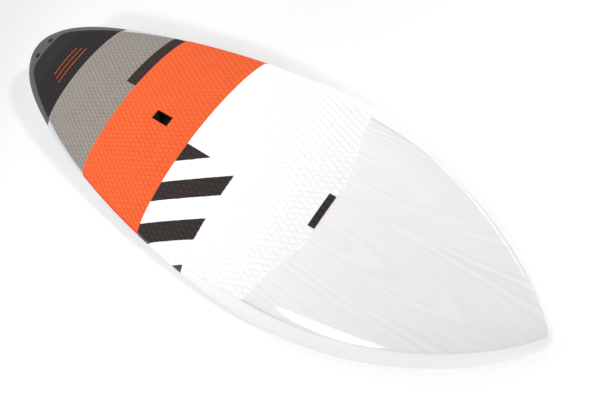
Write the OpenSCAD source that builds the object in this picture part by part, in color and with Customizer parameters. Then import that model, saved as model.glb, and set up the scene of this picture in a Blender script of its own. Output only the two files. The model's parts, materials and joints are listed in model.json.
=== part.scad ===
// Stand-up paddle wave board: sandwich hull, four-block deck pad, veneer nose panel and three fins.
// Millimetres. In the board's own axes x runs from the tail to the nose, y to port and z up from the
// flattest point of the bottom. on_floor() then lays it down on its centre fin and its belly.

/* [Outline] */
// Overall length from tail to nose
board_l = 2540; // [2400:10:2800]
// Greatest width
board_w = 790; // [720:5:860]
// Distance of the widest station from the tail
wide_x = 1410; // [1340:10:1500]
// Half-width of the blunt tail end
tail_end = 32; // [24:1:44]
// Half-width of the blunt nose end
nose_end = 5; // [4:0.5:12]

/* [Profile] */
// Thickness on the centreline at the thickest station
board_t = 122; // [110:1:136]
// Thickness at the tail end
tail_t = 42; // [38:1:52]
// Thickness at the nose end
nose_t = 37; // [30:1:44]
// Distance of the thickest station from the tail
thick_x = 1300; // [1200:10:1400]
// Rise of the bottom at the tail
tail_rocker = 108; // [92:1:122]
// Rise of the bottom at the nose
nose_rocker = 175; // [145:1:195]
// Distance of the flattest bottom station from the tail
flat_x = 1150; // [1050:10:1250]
// Width of the rounded lower rail outside the flat bottom
rail_tuck = 95; // [80:1:120]
// Height of the rail's widest line as a share of the thickness
rail_apex = 0.4; // [0.34:0.01:0.46]

/* [Sandwich] */
// Thickness of the laminated skins
skin = 2.4; // [1.6:0.1:4]
// Length of the solid block at each end of the hull
end_block = 30; // [20:1:45]
// Rounding of the hull towards its tail and nose edges
end_round = 20; // [12:1:20]
// Thickness of the wooden stringer
stringer_t = 6; // [4:0.5:10]
// Thickness of the nose veneer
veneer_t = 1.2; // [0.8:0.1:2]
// Bond line between glued layers
glue = 0.4; // [0.3:0.05:0.5]

/* [Deck pad] */
// Thickness of the pad sheet
pad_t = 5; // [3.5:0.5:7]
// Rear edge of the tail block
tail_pad_x = 131; // [124:1:138]
// Seam between the tail block and the rear block
rear_pad_x = 424; // [400:1:450]
// Seam between the rear block and the middle block
middle_pad_x = 830; // [790:1:870]
// Seam between the middle block and the front block
front_pad_x = 1297; // [1255:1:1335]
// Foremost edge of the front block
pad_front_x = 1912; // [1870:1:1950]
// Set-back of the front block's corners
pad_sweep = 86; // [60:1:110]
// Half-width of the straight middle of the front edge
pad_bend = 124; // [90:1:160]
// Half-width of the tail block at its rear edge
tail_corner = 126; // [118:1:130]
// Bare rail outside the pad amidships
pad_margin = 10; // [8:0.5:14]
// Distance from the tail where the bare rail begins to widen
pad_draw_x = 1000; // [940:5:1060]
// Widening of the bare rail, taken at the tail's end
pad_draw = 62; // [54:1:70]
// Bare rail outside the veneer
nose_band = 42; // [34:1:50]
// Bare deck ahead of the veneer
nose_gap = 25; // [20:1:36]
// Open seam between neighbouring blocks
pad_seam = 0.6; // [0.4:0.1:1]
// Height of the kick at the rear of the tail block
kick_h = 15; // [11:1:19]
// Width of the kick's top
kick_crest = 37; // [32:1:42]
// Length of the kick
kick_l = 82; // [74:1:90]
// Width of the thin tail stripes
stripe_w = 4; // [3:0.5:6]
// Height of the thin tail stripes
stripe_t = 0.8; // [0.5:0.1:1.2]
// Distance of the first stripe from the kick
stripe_x = 74; // [60:1:86]
// Spacing of the stripes
stripe_pitch = 32; // [26:1:38]
// Half-length of the rearmost stripe
stripe_half = 82; // [70:1:90]
// Width of the dark strip ahead of the rear block
strip_w = 71; // [55:1:85]
// Distance of the strip's inner end from the centreline
strip_y = 60; // [50:1:90]
// Distance of the first diagonal bar from the centreline
bar_y = 33; // [24:1:40]
// Width of the diagonal bars across the board
bar_w = 75; // [64:1:86]
// Spacing of the diagonal bars across the board
bar_pitch = 161; // [150:1:168]
// Reach of the diagonal bars ahead of the seam
bar_reach = 260; // [215:1:290]
// Slope of the diagonal bars
bar_angle = 30; // [26:1:36]
// Length of the dark tag in the front edge
tag_l = 23; // [18:1:32]
// Width of the dark tag
tag_w = 108; // [90:1:126]

/* [Carry handle] */
// Distance of the handle from the tail
handle_x = 1096; // [1040:1:1160]
// Length of the hand opening
handle_l = 106; // [95:1:125]
// Width of the hand opening
handle_w = 40; // [34:1:48]
// Depth of the hand recess below the deck
handle_d = 40; // [34:1:46]
// Wall of the moulded cup
cup_wall = 4; // [3:0.5:5]
// Corner radius of the hand opening
handle_r = 5; // [3:0.5:8]
// Undercut for the fingers below the rim
finger_pocket = 12; // [8:1:16]
// Depth of the rim above the undercut
finger_lip = 14; // [10:1:18]

/* [Vent] */
// Distance of the vent from the middle of the handle
vent_x = 32; // [26:1:36]
// Flange diameter of the vent body
vent_d = 20; // [18:1:24]
// Diameter of the vent body's barrel
vent_barrel = 13; // [12:0.5:15]
// Head diameter of the vent screw
vent_head = 14; // [13:0.5:16]
// Shank diameter of the vent screw
vent_shank = 6; // [5:0.5:7]
// Cord diameter of the sealing ring
ring_cord = 1.8; // [1.5:0.1:2.2]

/* [Leash plugs] */
// Distance of the plugs from the tail
plug_x = 70; // [66:1:74]
// Distance of each plug from the centreline
plug_y = 48; // [42:1:54]
// Outer diameter of the plug cup
plug_d = 28; // [26:1:32]
// Wall of the plug cup
plug_wall = 3; // [2.5:0.5:4]
// Depth of the plug cup
plug_depth = 18; // [15:1:21]
// Diameter of the steel bar across the cup
bar_d = 4; // [3:0.5:5]

/* [Centre fin] */
// Distance of the middle of the centre box from the tail
box_x = 262; // [250:1:290]
// Length of the centre box
box_l = 273; // [262:1:284]
// Width of the centre box
box_w = 29; // [28:1:34]
// Height of the centre box
box_h = 30; // [28:1:34]
// Width of the box slot
slot_w = 9.8; // [9.4:0.1:11]
// Depth of the box slot
slot_h = 24; // [22:0.5:26]
// Wall at the ends of the box slot
slot_end = 10; // [8:1:14]
// Depth at which the box and the fin root lie below the bottom
box_sink = 2.4; // [2.2:0.1:3.5]
// Length of the fin root
fin_chord = 150; // [140:1:156]
// Depth of the fin below its root
fin_depth = 203; // [170:1:220]
// Backward sweep of the fin tip
fin_sweep = 125; // [90:1:145]
// Greatest thickness of the fin blade
fin_t = 9; // [7:0.5:9]
// Height of the fin tab in the slot
tab_h = 20; // [18:0.5:21]
// Diameter of the cross pin
pin_d = 5; // [4.5:0.5:5.5]
// Length of the cross pin
pin_l = 21; // [19:0.5:22]
// Height of the pin channel's middle above the root
channel_z = 13; // [12:0.5:14]
// Shank diameter of the fin screw
screw_d = 4; // [3.5:0.5:4.5]
// Head diameter of the fin screw
screw_head = 8; // [7:0.5:8.5]

/* [Side fins] */
// Distance of the middle of the side boxes from the tail
side_x = 400; // [380:1:430]
// Distance of the side boxes from the centreline
side_y = 178; // [165:1:190]
// Length of the side box
side_box_l = 118; // [114:1:126]
// Width of the side box
side_box_w = 30; // [28:1:34]
// Height of the side box
side_box_h = 22; // [21:0.5:26]
// Length of the side fin root
side_chord = 108; // [100:1:109]
// Depth of the side fin
side_depth = 112; // [95:1:125]
// Backward sweep of the side fin tip
side_sweep = 58; // [40:1:70]
// Thickness of the side fin and its tab
side_t = 6; // [5:0.5:7]
// Height of the side fin tab
side_tab_h = 15; // [13:0.5:16]
// Outward cant of the side fins
side_cant = 5; // [0:0.5:8]
// Toe-in of the side fins
side_toe = 2; // [0:0.5:4]
// Diameter of the grub screws
grub_d = 5; // [4:0.5:6]
// Distance of the grub screws from the middle of the side box
grub_x = 36; // [28:1:42]

/* [Fits] */
// Gap round a bonded insert
seat_gap = 0.3; // [0.2:0.05:0.4]
// Radial clearance of a turning or sliding pin
run_gap = 0.06; // [0.04:0.01:0.09]
// Side clearance of a fin tab in its slot
tab_gap = 0.3; // [0.2:0.05:0.5]

/* [Hidden] */
$fn = 48;

// Colours
white = "#F6F6F4";
charcoal = "#353334";
warm_grey = "#9B948D";
orange = "#FF6325";
veneer_tone = "#E9E5DF";

// Shape exponents of the smooth curves
dome = 0.7;
tail_rocker_p = 2.4;
nose_rocker_p = 2.7;
tail_foil_p = 1.9;
nose_foil_p = 1.5;
tail_plan_p = 1.86;
tail_plan_q = 0.47;
nose_plan_p = 2.75;
nose_plan_q = 0.83;
narrow_flat = 0.4;
most_flat = 0.9;
least_cover = 0.3;
end_least = 0.22;
kick_edge = 0.85;
kick_p = 8;
draw_p = 2;

// Half-width of the outline at station x
function plan_nose(t) = pow(max(0, 1 - pow(t, nose_plan_p)), nose_plan_q);
function plan_tail(t) = pow(max(0, 1 - pow(t, tail_plan_p)), tail_plan_q);
function half_w(x) = x < wide_x
  ? tail_end + (board_w / 2 - tail_end) * plan_tail((wide_x - x) / wide_x)
  : nose_end + (board_w / 2 - nose_end) * plan_nose((x - wide_x) / (board_l - wide_x));

// Heights of the bottom, the deck and the rail's widest line on station x
function bottom(x) = x < flat_x
  ? tail_rocker * pow((flat_x - x) / flat_x, tail_rocker_p)
  : nose_rocker * pow((x - flat_x) / (board_l - flat_x), nose_rocker_p);
function thick(x) = x < thick_x
  ? tail_t + (board_t - tail_t) * (1 - pow((thick_x - x) / thick_x, tail_foil_p))
  : nose_t + (board_t - nose_t) * (1 - pow((x - thick_x) / (board_l - thick_x), nose_foil_p));
function apex(x) = bottom(x) + rail_apex * thick(x);
function flat_w(x) = max(half_w(x) - rail_tuck, narrow_flat * half_w(x));

// Share of the full height above and below the rail line: a quarter round at both ends
function end_share(x) = let (c = min(1, min(x, board_l - x) / end_round))
  max(end_least, sqrt(1 - pow(1 - c, 2)));

// Deck height at width y, on a surface that lies d inside the outer one
function deck(x, y, d = 0) = let (a = apex(x), h = (bottom(x) + thick(x) - d - a) * end_share(x))
  a + h * pow(max(0, 1 - pow(y / (half_w(x) - d), 2)), dome);

// Half-width of what covers the deck: the pad aft, drawing in to the veneer's outline forward
function smooth(t) = let (c = min(1, max(0, t))) c * c * (3 - 2 * c);
function mix(a, b, t) = a + (b - a) * t;
pad_corner_x = pad_front_x - pad_sweep;
veneer_x = board_l - nose_gap;
function veneer_w(x) = (board_w / 2 - nose_band) * plan_nose(max(0, x - wide_x) / (veneer_x - wide_x));
function pad_w(x) = half_w(x) - pad_margin - pad_draw * pow(max(0, 1 - x / pad_draw_x), draw_p);
function cover_w(x) = mix(pad_w(x), veneer_w(x),
  smooth((x - front_pad_x) / (pad_corner_x - front_pad_x)));

// Stations along the board: every seam of the pad, with finer steps towards both ends
function steps(a, b, n, p = 1) = [for (k = [0 : n - 1]) a + (b - a) * pow(k / n, p)];
function steps_in(a, b, n, p) = [for (k = [0 : n - 1]) b - (b - a) * pow(1 - k / n, p)];
kick_x = tail_pad_x + kick_l;
crest_x = tail_pad_x + kick_crest;
tail_rows = concat([tail_pad_x], steps(crest_x, kick_x, 2), steps(kick_x, rear_pad_x, 3));
rear_rows = steps(rear_pad_x, middle_pad_x, 5);
middle_rows = steps(middle_pad_x, front_pad_x, 5);
front_rows = steps(front_pad_x, pad_front_x, 7);
nose_rows = steps_in(pad_front_x, board_l, 9, 1.6);
stations = concat(steps(0, tail_pad_x, 5, 2), tail_rows, rear_rows, middle_rows, front_rows,
  nose_rows, [board_l - end_round / 4, board_l]);

// Grid lines across the board: shares of the cover's width, then of the bare rail, then of the lower rail
cover_shares = [0, 0.2, 0.4, 0.6, 0.76, 0.88, 0.96, 1];
rail_shares = [0.35, 0.65, 0.87, 1];
flat_shares = [0, 0.25, 0.5, 0.75, 1];
tuck_angles = [12, 26, 41, 56, 69, 80, 90];
function both_sides(v) = concat([for (k = [len(v) - 1 : -1 : 1]) -v[k]], v);
cover_lines = both_sides(cover_shares);
function deck_lines(x) = let (w = half_w(x), e = max(cover_w(x), least_cover * w))
  concat([for (s = cover_shares) s * e / w], [for (s = rail_shares) mix(e, w, s) / w]);

// Points of a deck row and of a bottom row, d inside the outer surface; open grows from 0 in the solid
// ends to 1 where the hull is hollow
function open(x) = min(1, max(0, min(x, board_l - x) / end_block - 1));
function deck_row(x, lines, d = 0, k = 1) = let (w = half_w(x) - d, a = apex(x))
  [for (t = lines) [x, t * w, a + (deck(x, t * w, d) - a) * k]];
function bottom_half(x, d, k) = let (w = half_w(x) - d, f = min(flat_w(x), most_flat * w),
  a = apex(x) - glue, h = (a - bottom(x) - d) * k * end_share(x))
  concat([for (s = flat_shares) [s * f, a - h]],
    [for (q = tuck_angles) [f + (w - f) * sin(q), a - h * cos(q)]]);
function bottom_row(x, d = 0, k = 1) = let (v = bottom_half(x, d, k), n = len(v))
  concat([for (i = [n - 1 : -1 : 1]) [x, -v[i][0], v[i][1]]], [for (p = v) [x, p[0], p[1]]]);

// Solid between an upper and a lower grid of points with the same rows and columns; the quads of the two
// ends are split so that none falls flat where an arched grid meets a level one at the rails, and those of
// a mirrored grid are split alike on both halves
module slab(upper, lower, arched = true, mirrored = false) {
  n = len(upper);
  m = len(upper[0]);
  mid = (m - 1) / 2;
  function u(i, j) = i * m + j;
  function l(i, j) = n * m + i * m + j;
  function quad(a, b, c, d) = [[a, b, c], [a, c, d]];
  function split(a, b, c, d, flip) = flip ? quad(b, c, d, a) : quad(a, b, c, d);
  faces = concat(
    [for (i = [0 : n - 2], j = [0 : m - 2])
      each split(u(i, j), u(i, j + 1), u(i + 1, j + 1), u(i + 1, j), mirrored && j < mid)],
    [for (i = [0 : n - 2], j = [0 : m - 2])
      each split(l(i + 1, j + 1), l(i, j + 1), l(i, j), l(i + 1, j), mirrored && j < mid)],
    [for (i = [0 : n - 2]) each quad(u(i, 0), u(i + 1, 0), l(i + 1, 0), l(i, 0))],
    [for (i = [0 : n - 2]) each quad(u(i + 1, m - 1), u(i, m - 1), l(i, m - 1), l(i + 1, m - 1))],
    [for (j = [0 : m - 2])
      each split(u(0, j + 1), u(0, j), l(0, j), l(0, j + 1), arched == (j >= mid))],
    [for (j = [0 : m - 2])
      each split(u(n - 1, j), u(n - 1, j + 1), l(n - 1, j + 1), l(n - 1, j), arched == (j < mid))]);
  polyhedron(points = concat([for (row = upper) each row], [for (row = lower) each row]), faces = faces);
}

// Fin blade: rows of span from the root down, columns from the leading to the trailing edge
blade_rows = [0, 0.15, 0.32, 0.5, 0.66, 0.8, 0.9, 0.96, 1];
blade_columns = [0, 0.04, 0.14, 0.32, 0.56, 0.8, 1];
tip_chord = 6;
edge_t = 0.6;
blade_p = 2.4;
blade_taper = 0.22;
rake_p = 1.5;
foil_k = 2.6;
root_gap = 0.4;
tab_root = 2;
tab_inset = 2;
function blade_chord(s, chord) = max(tip_chord,
  chord * sqrt(max(0, 1 - pow(s, blade_p))) * (1 - blade_taper * s));
function foil(u) = foil_k * sqrt(u) * (1 - u);
function blade(chord, depth, sweep, t, side) = [for (s = blade_rows) let (c = blade_chord(s, chord))
  [for (u = blade_columns) [c / 2 - u * c - sweep * pow(s, rake_p),
    side * max(edge_t, t * c / chord * foil(u)) / 2, -max(root_gap, depth * s)]]];
module fin_blade(chord, depth, sweep, t) {
  slab(blade(chord, depth, sweep, t, 1), blade(chord, depth, sweep, t, -1));
}
module fin_tab(l, w, h) {
  translate([-l / 2, -w / 2, -tab_root]) cube([l, w, h + tab_root]);
}

// Slopes of the surfaces, taken over a short span
span = 4;
function bottom_slope(x) = atan((bottom(x + span) - bottom(x - span)) / (2 * span));
function deck_slope(x, y) = atan((deck(x + span, y) - deck(x - span, y)) / (2 * span));
function deck_roll(x, y) = atan((deck(x, y + span) - deck(x, y - span)) / (2 * span));

// Places on the bottom and on the deck, with local z along the surface's normal
module at_bottom(x, y = 0) {
  translate([x, y, bottom(x)]) rotate([0, -bottom_slope(x), 0]) children();
}
module at_deck(x, y) {
  translate([x, y, deck(x, y)]) rotate([deck_roll(x, y), -deck_slope(x, y), 0]) children();
}
module at_handle() {
  translate([handle_x, 0, deck(handle_x, 0)]) rotate([0, -deck_slope(handle_x, 0), 0]) children();
}
module at_vent() {
  at_handle() translate([vent_x, 0, -handle_d]) children();
}
module at_centre_box() {
  at_bottom(box_x) translate([0, 0, box_sink]) children();
}
module at_side_box(side) {
  at_bottom(side_x, side * side_y) rotate([side * side_cant, 0, -side * side_toe])
    translate([0, 0, box_sink]) children();
}

// Resting line under the centre fin's tip and the belly
fin_slope = bottom_slope(box_x);
function in_board(p) = let (z = p[2] + box_sink) [box_x + p[0] * cos(fin_slope) - z * sin(fin_slope),
  bottom(box_x) + p[0] * sin(fin_slope) + z * cos(fin_slope)];
fin_points = [for (row = blade(fin_chord, fin_depth, fin_sweep, fin_t, 1), p = row) in_board(p)];
function lowest(m) = let (d = [for (p = fin_points) p[1] - m * p[0]], k = min(d))
  [for (i = [0 : len(d) - 1]) if (d[i] == k) fin_points[i]][0];
function rest_line(f) = min([for (x = stations) if (x > flat_x) (bottom(x) - f[1]) / (x - f[0])]);
rest_foot = lowest(rest_line(lowest(0)));
rest_slope = rest_line(rest_foot);
pitch = atan(rest_slope);
ends = [for (x = [0, board_l]) each concat(deck_row(x, deck_lines(x)), bottom_row(x))];
level_x = [for (p = ends) p[0] * cos(pitch) + p[2] * sin(pitch)];
floor_z = rest_foot[1] * cos(pitch) - rest_foot[0] * sin(pitch);
module on_floor() {
  translate([-(min(level_x) + max(level_x)) / 2, 0, -floor_z]) rotate([0, pitch, 0]) children();
}

// Shapes that are let into the hull, grown by g
module rounded_box(l, w, h, r) {
  linear_extrude(h) offset(r = r, $fn = 32) square([l - 2 * r, w - 2 * r], center = true);
}
cup_floor = handle_d + cup_wall;
cup_l = handle_l + 2 * cup_wall;
cup_w = handle_w + finger_pocket + 2 * cup_wall;
proud = 10;
past = 1;
module cup_block(g) {
  at_handle() translate([-cup_l / 2 - g, -(cup_w + finger_pocket) / 2 - g, -cup_floor - g])
    cube([cup_l + 2 * g, cup_w + 2 * g, cup_floor + g + proud]);
}
vent_barrel_l = 11;
module vent_barrel_block(g) {
  at_vent() translate([0, 0, -vent_barrel_l - g]) cylinder(d = vent_barrel + 2 * g, h = vent_barrel_l + g);
}
module plug_block(g) {
  for (side = [-1, 1]) at_deck(plug_x, side * plug_y) translate([0, 0, -plug_depth - plug_wall - g])
    cylinder(d = plug_d + 2 * g, h = plug_depth + plug_wall + g + proud);
}
module centre_box_block(g) {
  at_centre_box() translate([-box_l / 2 - g, -box_w / 2 - g, -proud])
    cube([box_l + 2 * g, box_w + 2 * g, box_h + g + proud]);
}
module side_box_block(g) {
  for (side = [-1, 1]) at_side_box(side) translate([-side_box_l / 2 - g, -side_box_w / 2 - g, -proud])
    cube([side_box_l + 2 * g, side_box_w + 2 * g, side_box_h + g + proud]);
}

// Hull
function full_lines(x) = both_sides(deck_lines(x));
module deck_shell() {
  color(white) on_floor() difference() {
    slab([for (x = stations) deck_row(x, full_lines(x))],
      [for (x = stations) deck_row(x, full_lines(x), skin, open(x))], mirrored = true);
    cup_block(seat_gap);
    plug_block(seat_gap);
  }
}
module bottom_shell() {
  color(white) on_floor() difference() {
    slab([for (x = stations) bottom_row(x, skin, open(x))], [for (x = stations) bottom_row(x)],
      arched = false, mirrored = true);
    centre_box_block(seat_gap);
    side_box_block(seat_gap);
    plug_block(seat_gap);
  }
}
core_in = skin + glue;
core_x = [for (x = stations) if (open(x) == 1) x];
stringer_half = stringer_t / 2;
function core_upper(x) = let (v = deck_lines(x), w = half_w(x) - core_in)
  [for (k = [0 : len(v) - 2]) let (y = max(v[k] * w, stringer_half + glue)) [x, y, deck(x, y, core_in)]];
function core_lower(x) = let (v = bottom_half(x, core_in, 1))
  [for (k = [0 : len(v) - 2]) [x, max(v[k][0], stringer_half + glue), v[k][1]]];
module core_half() {
  slab([for (x = core_x) core_upper(x)], [for (x = core_x) core_lower(x)]);
}
module inserts() {
  cup_block(seat_gap);
  vent_barrel_block(seat_gap);
  plug_block(seat_gap);
  centre_box_block(seat_gap);
  side_box_block(seat_gap);
}
module core_port() {
  color("#FBFBF8") on_floor() difference() {
    core_half();
    inserts();
  }
}
module core_starboard() {
  color("#FBFBF8") on_floor() difference() {
    mirror([0, 1, 0]) core_half();
    inserts();
  }
}
module stringer() {
  color("#C9A679") on_floor() difference() {
    rotate([90, 0, 0]) linear_extrude(stringer_t, center = true)
      polygon(concat([for (x = core_x) [x, deck(x, 0, core_in)]],
        [for (i = [len(core_x) - 1 : -1 : 0]) [core_x[i], bottom(core_x[i]) + core_in]]));
    inserts();
  }
}

// Deck covers: rows of the pad or the veneer, h above the bond line
function cover_row(x, lines, w, h) = [for (t = lines) [x, t * w, deck(x, t * w) + glue + h]];
function block_rows(rows, end) = concat([rows[0] + pad_seam / 2], [for (k = [1 : len(rows) - 1]) rows[k]],
  [end - pad_seam / 2]);
module block(rows, end) {
  xs = block_rows(rows, end);
  slab([for (x = xs) cover_row(x, cover_lines, cover_w(x), pad_t)],
    [for (x = xs) cover_row(x, cover_lines, cover_w(x), 0)], mirrored = true);
}
// Front edge of the pad: straight in the middle, swept back to the corners
corner_w = cover_w(pad_corner_x);
function sweep_at(t) = pad_sweep * max(0, abs(t) * corner_w - pad_bend) / (corner_w - pad_bend);
function front_point(x, s, t, h) = let (xs = x - s * s * sweep_at(t), y = t * cover_w(xs))
  [xs, y, deck(xs, y) + glue + h];
module front_block() {
  xs = block_rows(front_rows, pad_front_x);
  function share(x) = (x - xs[0]) / (pad_front_x - xs[0]);
  function grid(h) = [for (x = xs) [for (t = cover_lines) front_point(x, share(x), t, h)]];
  slab(grid(pad_t), grid(0), mirrored = true);
}
veneer_steps = [0, 0.12, 0.26, 0.4, 0.54, 0.67, 0.78, 0.87, 0.94, 0.98, 0.998];
module nose_veneer() {
  function grid(h) = [for (s = veneer_steps) [for (t = cover_lines)
    let (x = mix(pad_front_x + pad_seam / 2 - sweep_at(t), veneer_x, s), y = t * veneer_w(x))
    [x, y, deck(x, y) + glue + h]]];
  color(veneer_tone) on_floor() slab(grid(veneer_t), grid(0), mirrored = true);
}
// Tail block: cut-off rear corners and a kick with a broad top that falls to the pad's level ahead of it
function tail_w(x) = min(cover_w(x), tail_corner + (x - tail_pad_x));
function kick(x) = kick_h * (x < crest_x
  ? mix(kick_edge, 1, (x - tail_pad_x) / kick_crest)
  : 1 - smooth((x - crest_x) / (kick_x - crest_x)));
function kick_share(t) = 1 - pow(t, kick_p);
tail_xs = block_rows(tail_rows, rear_pad_x);
module tail_pad() {
  color(charcoal) on_floor() slab(
    [for (x = tail_xs) [for (t = cover_lines) let (y = t * tail_w(x))
      [x, y, deck(x, y) + glue + pad_t + kick(x) * kick_share(t)]]],
    [for (x = tail_xs) cover_row(x, cover_lines, tail_w(x), 0)], mirrored = true);
}
stripe_lines = [-1, -0.6, -0.2, 0.2, 0.6, 1];
stripe_growth = stripe_half / 8;
module tail_stripes() {
  color(orange) on_floor() for (k = [0 : 2]) {
    x = kick_x + stripe_x + k * stripe_pitch;
    w = stripe_half + k * stripe_growth;
    h = pad_t + glue;
    slab([for (e = [0, stripe_w]) cover_row(x + e, stripe_lines, w, h + stripe_t)],
      [for (e = [0, stripe_w]) cover_row(x + e, stripe_lines, w, h)]);
  }
}
// Dark inlays, as prisms through the pad, grown by g
tall = board_t + tail_rocker + nose_rocker;
module strip_prism(g) {
  translate([middle_pad_x - strip_w - g, strip_y - g, 0]) cube([strip_w + 2 * g, board_w, tall]);
}
bar_rise = tan(bar_angle);
module bar_prisms(g) {
  linear_extrude(tall) intersection() {
    translate([front_pad_x - g, -board_w]) square([bar_reach + 2 * g, board_w - bar_y + g]);
    for (k = [0 : 2]) {
      y = -bar_y - k * bar_pitch;
      reach = bar_reach + past;
      corners = [[-past, g], [reach, g], [reach, -bar_w - g], [-past, -bar_w - g]];
      polygon([for (e = corners) [front_pad_x + e[0], y + e[1] + e[0] * bar_rise]]);
    }
  }
}
module tag_prism(g) {
  translate([pad_front_x - tag_l - g, -tag_w / 2 - g, 0]) cube([tag_l + pad_sweep, tag_w + 2 * g, tall]);
}
module rear_pad() {
  color(warm_grey) on_floor() difference() {
    block(rear_rows, middle_pad_x);
    strip_prism(pad_seam);
  }
}
module strip_inlay() {
  color(charcoal) on_floor() intersection() {
    block(rear_rows, middle_pad_x);
    strip_prism(0);
  }
}
module middle_pad() {
  color(orange) on_floor() difference() {
    block(middle_rows, front_pad_x);
    at_handle() translate([0, 0, -proud]) rounded_box(handle_l, handle_w, 3 * proud, handle_r);
  }
}
module front_pad() {
  color(white) on_floor() difference() {
    front_block();
    bar_prisms(pad_seam);
    tag_prism(pad_seam);
  }
}
module bar_inlays() {
  color(charcoal) on_floor() intersection() {
    front_block();
    bar_prisms(0);
  }
}
module tag_inlay() {
  color(charcoal) on_floor() intersection() {
    front_block();
    tag_prism(0);
  }
}

// Carry handle: a moulded cup with an undercut for the fingers
cup_top = -0.8;
module handle_cup() {
  color("#1D1C1C") on_floor() difference() {
    intersection() {
      cup_block(0);
      at_handle() translate([-handle_l, -2 * handle_w, cup_top - tall])
        cube([2 * handle_l, 4 * handle_w, tall]);
    }
    at_handle() translate([0, 0, -handle_d]) rounded_box(handle_l, handle_w, handle_d + proud, handle_r);
    at_handle() translate([0, -finger_pocket / 2, -handle_d])
      rounded_box(handle_l, handle_w + finger_pocket, handle_d - finger_lip, handle_r);
    vent_barrel_block(run_gap);
  }
}

// Vent: a flanged body through the cup floor, closed by a coin screw on a sealing ring
flange_t = 2;
ring_gap = 0.15;
vent_head_t = 3;
vent_shank_l = 8;
coin_slot = 1.6;
ring_r = vent_shank / 2 + run_gap + ring_gap + ring_cord / 2;
head_z = flange_t + 2 * ring_gap + ring_cord;
module vent_body() {
  color("#2A2A2C") on_floor() at_vent() difference() {
    union() {
      translate([0, 0, -vent_barrel_l]) cylinder(d = vent_barrel, h = vent_barrel_l + flange_t);
      translate([0, 0, seat_gap]) cylinder(d = vent_d, h = flange_t - seat_gap);
    }
    translate([0, 0, -vent_barrel_l - past])
      cylinder(d = vent_shank + 2 * run_gap, h = vent_barrel_l + flange_t + 2 * past);
  }
}
module vent_ring() {
  color("#151515") on_floor() at_vent() translate([0, 0, flange_t + ring_gap + ring_cord / 2])
    rotate_extrude() translate([ring_r, 0]) circle(d = ring_cord, $fn = 24);
}
module vent_screw() {
  color("#8C8E91") on_floor() at_vent() difference() {
    union() {
      translate([0, 0, head_z]) cylinder(d = vent_head, h = vent_head_t);
      translate([0, 0, head_z - vent_shank_l]) cylinder(d = vent_shank, h = vent_shank_l + past);
    }
    translate([-vent_head, -coin_slot / 2, head_z + vent_head_t / 2])
      cube([2 * vent_head, coin_slot, vent_head_t]);
  }
}

// Leash plugs: moulded cups sunk in the tail, each with a steel bar across
bar_z = -6;
bar_bite = 1.5;
bar_end = 0.1;
bar_l = plug_d - 2 * plug_wall + 2 * bar_bite;
module leash_plugs() {
  color("#1D1C1C") on_floor() for (side = [-1, 1]) at_deck(plug_x, side * plug_y) difference() {
    translate([0, 0, -plug_depth - plug_wall]) cylinder(d = plug_d, h = plug_depth + plug_wall);
    translate([0, 0, -plug_depth]) cylinder(d = plug_d - 2 * plug_wall, h = plug_depth + past);
    translate([0, 0, bar_z]) rotate([0, 90, 0])
      cylinder(d = bar_d + 2 * run_gap, h = bar_l + 2 * bar_end, center = true);
  }
}
module leash_bars() {
  color("#B9BCC0") on_floor() for (side = [-1, 1]) at_deck(plug_x, side * plug_y) translate([0, 0, bar_z])
    rotate([0, 90, 0]) cylinder(d = bar_d, h = bar_l, center = true);
}

// Centre fin box: a slot with a pin channel along both walls
channel_gap = 0.5;
channel_h = pin_d + 2 * channel_gap;
slot_l = box_l - 2 * slot_end;
module centre_box() {
  color("#EDEDEB") on_floor() at_centre_box() difference() {
    translate([-box_l / 2, -box_w / 2, 0]) cube([box_l, box_w, box_h]);
    translate([-slot_l / 2, -slot_w / 2, -past]) cube([slot_l, slot_w, slot_h + past]);
    translate([-slot_l / 2, -pin_l / 2 - channel_gap, channel_z - channel_h / 2])
      cube([slot_l, pin_l + 2 * channel_gap, channel_h]);
  }
}

// Centre fin with its tab, cross pin, nut plate, washer and screw
tab_l = fin_chord - 2 * tab_inset;
tab_w = slot_w - 2 * tab_gap;
ear_l = 20;
ear_z = 4.6;
ear_t = 4.6;
washer_t = 0.8;
washer_gap = 0.1;
face_gap = 0.1;
plate_lift = 1.2;
plate_z = ear_z + ear_t + plate_lift;
plate_t = 3.6;
plate_l = 13;
pin_inset = 9;
pin_x = -tab_l / 2 + pin_inset;
screw_x = tab_l / 2 + ear_l / 2;
screw_play = 0.2;
screw_head_t = 2.4;
washer_z = ear_z - face_gap - washer_t;
screw_z = washer_z - face_gap - screw_head_t;
cross_w = 1;
cross_l = 2 * screw_head / 3;
cross_h = 1.2;
module centre_fin() {
  color("#2E3033") on_floor() at_centre_box() difference() {
    union() {
      fin_blade(fin_chord, fin_depth, fin_sweep, fin_t);
      fin_tab(tab_l, tab_w, tab_h);
      translate([tab_l / 2 - past, -tab_w / 2, ear_z]) cube([ear_l + past, tab_w, ear_t]);
    }
    translate([pin_x, 0, channel_z]) rotate([90, 0, 0])
      cylinder(d = pin_d + 2 * run_gap, h = 2 * tab_w, center = true);
    translate([screw_x, 0, ear_z - past]) cylinder(d = screw_d + 2 * screw_play, h = ear_t + 2 * past);
  }
}
module cross_pin() {
  color("#B08D4F") on_floor() at_centre_box() translate([pin_x, 0, channel_z]) rotate([90, 0, 0])
    cylinder(d = pin_d, h = pin_l, center = true);
}
module fin_plate() {
  color("#B9BCC0") on_floor() at_centre_box() difference() {
    translate([screw_x - plate_l / 2, -pin_l / 2, plate_z]) cube([plate_l, pin_l, plate_t]);
    translate([screw_x, 0, plate_z - past]) cylinder(d = screw_d + 2 * run_gap, h = plate_t + 2 * past);
  }
}
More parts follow.
